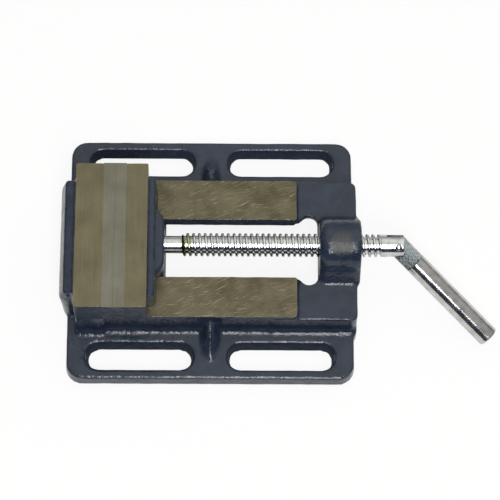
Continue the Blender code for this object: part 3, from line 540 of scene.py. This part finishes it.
casting = {
    "voxel": mm(1.08),
    "jawVoxel": mm(0.8),
    "smoothing": 4,
    "waves": ((mm(13), mm(0.35)), (mm(4.5), mm(0.12))),   # the cast skin wanders inwards: length, depth
    "spare": mm(3.0),           # metal left on the faces that are ground afterwards
    "padEnd": mm(127),          # the wheel stops here, short of the boss
    "seat": mm(0.3),            # between a casting and its jaw plate in the model
    "edge": mm(0.35),           # edges broken by a file after grinding
    # the back of the fixed jaw is a nearly level ledge, then a steep wall: how the CAD's ridge moves
    "ledge": (mm(-0.65), 0, mm(9.7)),
    "wall": (mm(-2.8), 0, 0),
    "jawLedge": (mm(2.3), mm(3.4)),     # and so is the sliding jaw's: further out and higher than in the CAD
    "level": 1e-5,
    "flat": 0.999,              # normals of flat faces
    "edgeAngle": 60,
    "edgeSegments": 2,
    # the fixed jaw's ridge: its depth, its heights above the ways and below the top, and its ledge
    "ridgeDepth": mm(8.2),
    "ridgeAboveWays": mm(8),
    "ridgeBelowTop": mm(10),
    "ledgeBelowTop": mm(15),
    # the sliding jaw's ridge: behind its plate, below the top, and clear of the nose boss
    "jawRidgeDepth": mm(16),
    "jawRidgeBelowTop": (mm(6), mm(8)),
    "noseHalf": mm(20),
    # where the paint is dull: slot walls, the walls of the gap between the ways, and the jaws' ends
    "slotAcross": (mm(61), mm(83)),
    "slotAlong": (mm(-20), mm(152)),
    "slotBelow": mm(11.5),
    "gapHalf": mm(22),
    "gapAlong": (mm(28), mm(133)),
    "gapBelowWays": mm(1),
    "wallNormal": 0.7,
    "endAcross": mm(45),
    "endNormal": 0.8,
}
plateLow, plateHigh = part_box("fixed_jaw_plate")
fixedFace, movingFace = plateLow.x - casting["seat"], -plateLow.x + casting["seat"]
jawTop = plateHigh.z
wayTop = plateLow.z - casting["seat"]
baseLow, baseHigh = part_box("base_casting")


def castPiece(name, node, voxel, machined, reshape):
    # the node's shape with spare metal on its machined faces, softened like a sand casting
    bm = bmesh.new()
    bm.from_mesh(nodes[node].data)
    bmesh.ops.remove_doubles(bm, verts=bm.verts, dist=weld)
    for vert in bm.verts:
        place = vert.co.copy()
        for axis, level, side in machined:
            if abs(place[axis] - level) < casting["level"] and place.z > wayTop - casting["level"]:
                vert.co[axis] += side * casting["spare"]
        vert.co += Vector(reshape(place))
    piece = newPiece(name, bm)
    remesh = piece.modifiers.new("sand", "REMESH")
    remesh.mode = "VOXEL"
    remesh.voxel_size = voxel
    soften = piece.modifiers.new("soften", "SMOOTH")
    soften.factor = 0.5
    soften.iterations = casting["smoothing"]
    for length, depth in casting["waves"]:
        cloud = bpy.data.textures.new("castSkin", "CLOUDS")
        cloud.noise_scale = length
        cloud.noise_depth = 1
        skin = piece.modifiers.new("skin", "DISPLACE")
        skin.texture = cloud
        skin.texture_coords = "LOCAL"
        skin.strength = depth
        skin.mid_level = 1.0
    return settle(piece)


def bareFaces(piece, levels, *materials):
    # the flat faces left by the wheel take the bare metal
    dress(piece, *materials)
    for face in piece.data.polygons:
        for slot, level in enumerate(levels, 1):
            if face.normal.z > casting["flat"] and abs(face.center.z - level) < casting["level"]:
                face.material_index = slot
    breakEdges(piece, casting["edge"], casting["edgeAngle"], casting["edgeSegments"], len(materials) - 1)
    smoothShade(piece, 30)
    bm = bmesh.new()
    bm.from_mesh(piece.data)
    for edge in bm.edges:        # flat ground faces end in a sharp line
        if len({face.normal.z > 0.9999 for face in edge.link_faces}) == 2:
            edge.smooth = False
    bm.to_mesh(piece.data)
    bm.free()


def dullInside(piece, slot):
    # the walls of the hold-down slots and of the gap between the ways
    near, far = casting["slotAcross"]
    slotStart, slotEnd = casting["slotAlong"]
    gapStart, gapEnd = casting["gapAlong"]
    for face in piece.data.polygons:
        spot, y = face.center, abs(face.center.y)
        inSlot = near < y < far and slotStart < spot.x < slotEnd and spot.z < casting["slotBelow"]
        inGap = (y < casting["gapHalf"] and gapStart < spot.x < gapEnd
                 and spot.z < wayTop - casting["gapBelowWays"])
        if (inSlot or inGap) and abs(face.normal.z) < casting["wallNormal"]:
            face.material_index = slot


def dullEnds(piece, slot):
    # the ends of the jaws above the ways
    for face in piece.data.polygons:
        isOut = abs(face.center.y) > casting["endAcross"] and face.center.z > wayTop
        if isOut and abs(face.normal.y) > casting["endNormal"] and face.material_index == 0:
            face.material_index = slot


def raiseFixedLedge(place):
    # only the ridge of the fixed jaw's back lies so far out between the ways' height and the jaw's top
    inBand = wayTop + casting["ridgeAboveWays"] < place.z < jawTop - casting["ridgeBelowTop"]
    if place.x > baseLow.x + casting["ridgeDepth"] or not inBand:
        return (0, 0, 0)
    return casting["ledge"] if place.z > jawTop - casting["ledgeBelowTop"] else casting["wall"]


def reachJawLedge(place):
    low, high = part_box("moving_jaw_plate")
    least, most = casting["jawRidgeBelowTop"]
    isRidge = place.x > high.x + casting["jawRidgeDepth"] and jawTop - most < place.z < jawTop - least
    out, up = casting["jawLedge"]
    return (out, 0, up) if isRidge and abs(place.y) > casting["noseHalf"] else (0, 0, 0)


def makeBase():
    piece = castPiece("base_casting_enamelled", "base_casting", casting["voxel"],
                      ((2, wayTop, 1), (2, jawTop, 1), (0, fixedFace, 1)), raiseFixedLedge)
    cut(piece,
        block("grind_ways", (fixedFace, baseLow.y, wayTop), (casting["padEnd"], baseHigh.y, 2 * jawTop)),
        block("grind_jaw", (2 * baseLow.x, baseLow.y, jawTop), (fixedFace / 2, baseHigh.y, 2 * jawTop)))
    bareFaces(piece, (wayTop, jawTop), enamelPaint, milledWays, groundTops, thinPaint, endPaint, wornEdge)
    dullInside(piece, 3)
    dullEnds(piece, 4)
    return finishPiece(piece, "base", "slate_blue_enamel", "base_casting")


def makeJaw():
    piece = castPiece("sliding_jaw_enamelled", "moving_jaw", casting["jawVoxel"],
                      ((2, jawTop, 1), (0, movingFace, -1)), reachJawLedge)
    low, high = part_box("moving_jaw")
    cut(piece, block("grind_top", (0, 2 * low.y, jawTop), (2 * high.x, 2 * high.y, 2 * jawTop)),
        block("grind_face", (-movingFace, 2 * low.y, 0), (movingFace, 2 * high.y, 2 * jawTop)))
    bareFaces(piece, (jawTop,), enamelPaint, groundTops, endPaint, wornEdge)
    dullEnds(piece, 2)
    return finishPiece(piece, "sliding_jaw", "slate_blue_enamel", "moving_jaw")


makeBase()
makeJaw()
print("castings made")

# Jaw plates and their countersunk screws

plate = {
    "seam": mm(0.01),           # the joints are ground over, so they hardly show
    "edge": mm(0.06),
    "room": mm(0.3),            # round the screws
    "headSunk": mm(0.4),
    "shank": mm(4),
    "socket": mm(5),            # across flats
    "socketDepth": mm(2.6),
    "rim": mm(0.4),             # cylindrical edge of a screw's head, and the chamfer at its tip
    "through": 1.2,             # how far the holes are cut, in thicknesses
    "steps": 48,
}


def makePlate(name, node, body, face, back, screws):
    low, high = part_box(node)
    xs = sorted((face, back))
    piece = block(name, (xs[0], low.y, low.z), (xs[1], high.y, high.z))
    breakEdges(piece, plate["edge"])
    depth = (back - face) * plate["through"]
    inward = 1 if depth > 0 else -1
    for screw in screws:
        screwLow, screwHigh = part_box(screw)
        middle = (screwLow + screwHigh) / 2
        head, shank = (screwHigh.y - screwLow.y) / 2 + plate["room"], plate["shank"] + plate["room"]
        sunk = plate["headSunk"]
        profile = [(-sunk, 0), (-sunk, head), (sunk, head), (sunk + head - shank, shank),
                   (abs(depth), shank), (abs(depth), 0)]
        profile = [(inward * place, radius) for place, radius in profile]
        cut(piece, turned("sink", profile, plate["steps"], Matrix.Translation((face, middle.y, middle.z))))
    dress(piece, groundPlates, endPaint)
    for side in piece.data.polygons:
        if abs(side.normal.y) > casting["flat"] and abs(side.center.y) > high.y - plate["edge"]:
            side.material_index = 1
    smoothShade(piece, 15)
    finishPiece(piece, body, "ground_jaw_steel", node)
    for screw in screws:
        makePlateScrew(screw, body, face, inward)


def makePlateScrew(node, body, face, inward):
    low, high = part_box(node)
    middle = (low + high) / 2
    head, shank, sunk = (high.y - low.y) / 2, plate["shank"], plate["headSunk"]
    length, rim = high.x - low.x + sunk, plate["rim"]
    profile = [(sunk, 0), (sunk, head - rim / 2), (sunk + rim / 2, head), (sunk + rim, head),
               (sunk + rim + head - shank, shank), (length - rim, shank), (length, shank - rim), (length, 0)]
    spot = Matrix.Translation((face, middle.y, middle.z))
    piece = turned("jaw_" + node, [(inward * place, radius) for place, radius in profile], plate["steps"], spot)
    key = plate["socket"] / math.sqrt(3)
    depth = sunk + plate["socketDepth"]
    socket = [(-sunk, 0), (-sunk, key), (depth, key), (depth + key / 3, 0)]
    cut(piece, turned("socket", [(inward * place, radius) for place, radius in socket], 6, spot))
    dress(piece, blackOxide)
    smoothShade(piece, 30)
    finishPiece(piece, body, "black_oxide_steel", node)


makePlate("fixed_jaw_plate_ground", "fixed_jaw_plate", "base", -plate["seam"], fixedFace + plate["seam"],
          ("fixed_plate_screw_1", "fixed_plate_screw_2"))
makePlate("sliding_jaw_plate_ground", "moving_jaw_plate", "sliding_jaw", plate["seam"],
          movingFace - plate["seam"], ("moving_plate_screw_1", "moving_plate_screw_2"))
print("jaw plates made")

# Keeper plate, its bolts and washers, and the pins that hold the screw's nose

keeper = {
    "edge": mm(0.8),
    "hole": mm(4.3),
    "shank": mm(4),
    "headHeight": mm(5.3),
    "acrossFlats": mm(13),
    "washer": (mm(4.3), mm(6.6)),      # inner and outer radius
    "split": mm(1.2),
    "splitLean": math.radians(28),
    "washerEdge": mm(0.2),
    "boltEdge": mm(0.6),
    "crownLean": math.radians(30),
    "pinEdge": mm(0.5),
    "steps": 48,
}
upright = Matrix.Rotation(-math.pi / 2, 4, "Y")      # a turned piece's length becomes +Z


def standing(spot):
    return Matrix.Translation(spot) @ upright


def makeKeeper():
    low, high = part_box("keeper_plate")
    piece = breakEdges(block("keeper_plate_steel", low, high), keeper["edge"])
    for number in (1, 2):
        boltLow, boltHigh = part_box(f"keeper_bolt_{number}")
        middle = (boltLow + boltHigh) / 2
        spot = (middle.x, middle.y, 0)
        under, over = low.z / 2, high.z + low.z      # the hole's tool, past both faces
        hole = [(under, 0), (under, keeper["hole"]), (over, keeper["hole"]), (over, 0)]
        cut(piece, turned("hole", hole, keeper["steps"], standing(spot)))
        makeBolt(number, boltLow.z, boltHigh.z, spot)
        makeWasher(number, spot)
    dress(piece, plainSteel)
    smoothShade(piece, 15)
    finishPiece(piece, "sliding_jaw", "plain_steel", "keeper_plate")


def makeBolt(number, bottom, top, spot):
    corner, shank = keeper["acrossFlats"] / math.sqrt(3), keeper["shank"]
    headTop, edge = bottom + keeper["headHeight"], keeper["boltEdge"]
    piece = turned(f"keeper_bolt_{number}_hexagon", [(bottom, 0), (bottom, corner), (headTop, corner),
                                                     (headTop, 0)], 6, standing(spot))
    drop = (corner - keeper["acrossFlats"] / 2 + edge) * math.tan(keeper["crownLean"])
    face = keeper["acrossFlats"] / 2 - edge
    crown = [(bottom, 0), (bottom, face), (bottom + drop, corner), (headTop, corner), (headTop, 0)]
    cut(piece, turned("crown", crown, keeper["steps"], standing(spot)), operation="INTERSECT")
    stem = [(headTop - edge, 0), (headTop - edge, shank), (top - edge, shank), (top, shank - edge), (top, 0)]
    cut(piece, turned("stem", stem, keeper["steps"], standing(spot)), operation="UNION")
    dress(piece, zincPlate)
    smoothShade(piece, 25)
    finishPiece(piece, "sliding_jaw", "zinc_plated_steel", f"keeper_bolt_{number}")


def makeWasher(number, spot):
    low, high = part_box(f"keeper_spring_washer_{number}")
    inner, outer = keeper["washer"]
    edge = keeper["washerEdge"]
    section = [(low.z, inner), (low.z, outer - edge), (low.z + edge, outer), (high.z - edge, outer),
               (high.z, outer - edge), (high.z, inner), (low.z, inner)]
    piece = turned(f"keeper_washer_{number}_split", section, keeper["steps"], standing(spot))
    bm = bmesh.new()
    bm.from_mesh(piece.data)
    bmesh.ops.remove_doubles(bm, verts=bm.verts, dist=weld)
    bm.to_mesh(piece.data)
    bm.free()
    gap = keeper["split"] / 2
    slit = block("slit", (0, -gap, -2 * outer), (2 * outer, gap, 2 * outer))
    lean = Matrix.Translation((spot[0], spot[1], (low.z + high.z) / 2))
    slit.data.transform(lean @ Matrix.Rotation(keeper["splitLean"], 4, "X"))
    cut(piece, slit)
    dress(piece, zincPlate)
    smoothShade(piece, 30)
    finishPiece(piece, "sliding_jaw", "zinc_plated_steel", f"keeper_spring_washer_{number}")


def makeRetainingPin(number):
    low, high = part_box(f"screw_retaining_pin_{number}")
    middle, radius, edge = (low + high) / 2, (high.x - low.x) / 2, keeper["pinEdge"]
    profile = [(low.z, 0), (low.z, radius - edge), (low.z + edge, radius), (high.z - edge, radius),
               (high.z, radius - edge), (high.z, 0)]
    piece = turned(f"nose_pin_{number}", profile, keeper["steps"], standing((middle.x, middle.y, 0)))
    dress(piece, plainSteel)
    smoothShade(piece, 30)
    finishPiece(piece, "sliding_jaw", "plain_steel", f"screw_retaining_pin_{number}")


makeKeeper()
makeRetainingPin(1)
makeRetainingPin(2)
print("keeper and pins made")

# Lead screw

thread = {
    "pitch": mm(4),
    "depth": mm(1.9),
    "crest": mm(1.4),
    "flank": math.radians(15),
    "steps": 96,
    "start": mm(46),
    "end": mm(183),
    "leadIn": mm(1.5),
    "runOut": mm(0.5),
    "edge": mm(0.22),
    "outer": mm(8),
    "shank": mm(7.75),
    "nose": mm(6),
    "chamfer": mm(1),
    "groove": (mm(24.2), mm(29.8)),
    "grooveRadius": mm(4.4),
    "forkSlot": mm(6.6),
    "forkStart": mm(-8.1),      # from the hinge pin
    "forkEye": mm(2.4),
    "eyeSteps": 48,
    "roundSteps": 4,
    "rollOut": (0.27, 0.3),     # where the rolled crest edge leaves the flank, in edge widths
}
hinge = joints["handle_fold"]
pivot = Vector(hinge["pos_m"])
hingeAxis = Vector(hinge["axis"]).normalized()
screwLow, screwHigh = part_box("lead_screw")


def threadOutline():
    # one pitch of the thread, from the start of a root, as (place, radius), with rolled crest edges
    t = thread
    flank = t["depth"] * math.tan(t["flank"])
    root = t["pitch"] - t["crest"] - 2 * flank
    low, outer, edge = t["outer"] - t["depth"], t["outer"], t["edge"]
    rise, fall = root + flank, root + flank + t["crest"]
    back, bend = [edge * share for share in t["rollOut"]]
    return [(0, low), (root / 2, low), (root, low), (rise - back, outer - edge),
            (rise + bend, outer - bend), (rise + edge, outer), (fall - edge, outer),
            (fall - bend, outer - bend), (fall + back, outer - edge), (t["pitch"], low)]


def radiusAt(outline, rise):
    for (rise0, radius0), (rise1, radius1) in zip(outline, outline[1:]):
        if rise <= rise1:
            return radius0 + (radius1 - radius0) * (rise - rise0) / (rise1 - rise0)
    return outline[-1][1]


def threadColumn(turn):
    # the thread's edges along one side of the screw, held between the thread's two ends
    t = thread
    outline = threadOutline()
    first = t["start"] + (turn - 1) * t["pitch"]
    column = []
    for pitch in range(math.ceil((t["end"] - t["start"]) / t["pitch"]) + 2):
        for rise, radius in outline[:-1]:
            place = first + pitch * t["pitch"] + rise
            held = min(max(place, t["start"]), t["end"])
            if held != place:
                radius = radiusAt(outline, (held - first) % t["pitch"])
            column.append((held, min(radius, t["outer"] - t["leadIn"] + held - t["start"])))
    return column


def hingeFrame():
    # the handle's hinge: local Z is its pin, and local X runs along the screw
    along = Vector((1, 0, 0))
    turn = Matrix((along, hingeAxis.cross(along), hingeAxis)).transposed()
    return Matrix.Translation(pivot) @ turn.to_4x4()


def pinTool(radius, reach):
    profile = [(-reach, 0), (-reach, radius), (reach, radius), (reach, 0)]
    return turned("eye", profile, thread["eyeSteps"], upright)


def makeScrew():
    t = thread
    edge, nose, shank = t["chamfer"], t["nose"], t["shank"]
    start, end = screwLow.x, screwHigh.x
    front = [(start, 0), (start, nose - edge), (start + edge, nose), (t["groove"][0], nose),
             (t["groove"][0], t["grooveRadius"]), (t["groove"][1], t["grooveRadius"]), (t["groove"][1], nose),
             (t["start"], nose)]
    back = [(t["end"] + t["runOut"], shank)]
    for i in range(t["roundSteps"] + 1):
        turn = i * math.pi / (2 * t["roundSteps"])
        back.append((end - edge * (1 - math.sin(turn)), shank - edge * (1 - math.cos(turn))))
    back.append((end, 0))
    bm = bmesh.new()
    columns = []
    for i in range(t["steps"] + 1):
        turn = i / t["steps"]
        across, down = math.sin(2 * math.pi * turn), math.cos(2 * math.pi * turn)
        outline = front + threadColumn(turn) + back
        columns.append([bm.verts.new((x, radius * across, pivot.z - radius * down)) for x, radius in outline])
    for here, there in zip(columns, columns[1:]):
        for k in range(len(here) - 1):
            bm.faces.new((here[k], there[k], there[k + 1], here[k + 1]))
    bmesh.ops.remove_doubles(bm, verts=bm.verts, dist=2 * weld)
    piece = newPiece("lead_screw_threaded", bm)
    across, half = 2 * shank, t["forkSlot"] / 2
    slot = block("slot", (t["forkStart"], -across, -half), (across, across, half))
    eye = pinTool(t["forkEye"], across)
    for tool in (slot, eye):
        tool.data.transform(hingeFrame())
    cut(piece, slot, eye)
    dress(piece, zincThread)
    smoothShade(piece, 25)
    return finishPiece(piece, "screw", "zinc_plated_steel", "lead_screw")


makeScrew()
print("lead screw made")

# Handle and hinge pin

bar = {
    "radius": mm(7.5),
    "length": mm(91.19),
    "endRound": mm(1.5),
    "tongue": mm(6),
    "tongueLength": mm(16.8),
    "eye": mm(2.55),
    "fold": math.radians(45),
    "edge": mm(0.3),
    "pin": mm(2.25),
    "pinDome": mm(0.3),
    "pinShoulder": 0.85,        # share of the pin's radius at the foot of its dome
    "pinSteps": 48,
    "roundSteps": 10,
    "steps": 96,
}


def makeHandle():
    radius, length, endRound = bar["radius"], bar["length"], bar["endRound"]
    turns = [i * math.pi / (2 * bar["roundSteps"]) for i in range(bar["roundSteps"] + 1)]
    profile = [(-radius * math.cos(turn), radius * math.sin(turn)) for turn in turns]
    profile[0] = (-radius, 0)
    profile += [(length - endRound * (1 - math.sin(turn)), radius - endRound * (1 - math.cos(turn)))
                for turn in turns]
    profile.append((length, 0))
    piece = turned("handle_bar", profile, bar["steps"])
    across, half = 2 * radius, bar["tongue"] / 2
    cut(piece, block("flat", (-across, -across, half), (bar["tongueLength"], across, across)),
        block("flat", (-across, -across, -across), (bar["tongueLength"], across, -half)),
        pinTool(bar["eye"], across))
    breakEdges(piece, bar["edge"])
    dress(piece, chromePlate, dullZinc)
    for face in piece.data.polygons:
        if face.center.x < bar["tongueLength"]:
            face.material_index = 1
    piece.data.transform(hingeFrame() @ Matrix.Rotation(-bar["fold"], 4, "Z"))
    smoothShade(piece, 20)
    return finishPiece(piece, "handle", "chromed_handle_steel", "handle")


def makePin():
    reach, radius, dome = thread["shank"] + bar["pinDome"], bar["pin"], bar["pinDome"]
    rim = [(reach, 0), (reach - dome / 3, radius / 2), (reach - dome, radius * bar["pinShoulder"]),
           (reach - 2 * dome, radius)]
    profile = [(-place, size) for place, size in rim] + rim[::-1]
    piece = turned("handle_rivet", profile, bar["pinSteps"], hingeFrame() @ upright)
    dress(piece, zincPlate)
    smoothShade(piece, 50)
    return finishPiece(piece, "screw", "zinc_plated_steel", "hinge_pin")


makeHandle()
makePin()
print("handle made")

bpy.context.scene.view_settings.view_transform = "Standard"
print("scene ready")
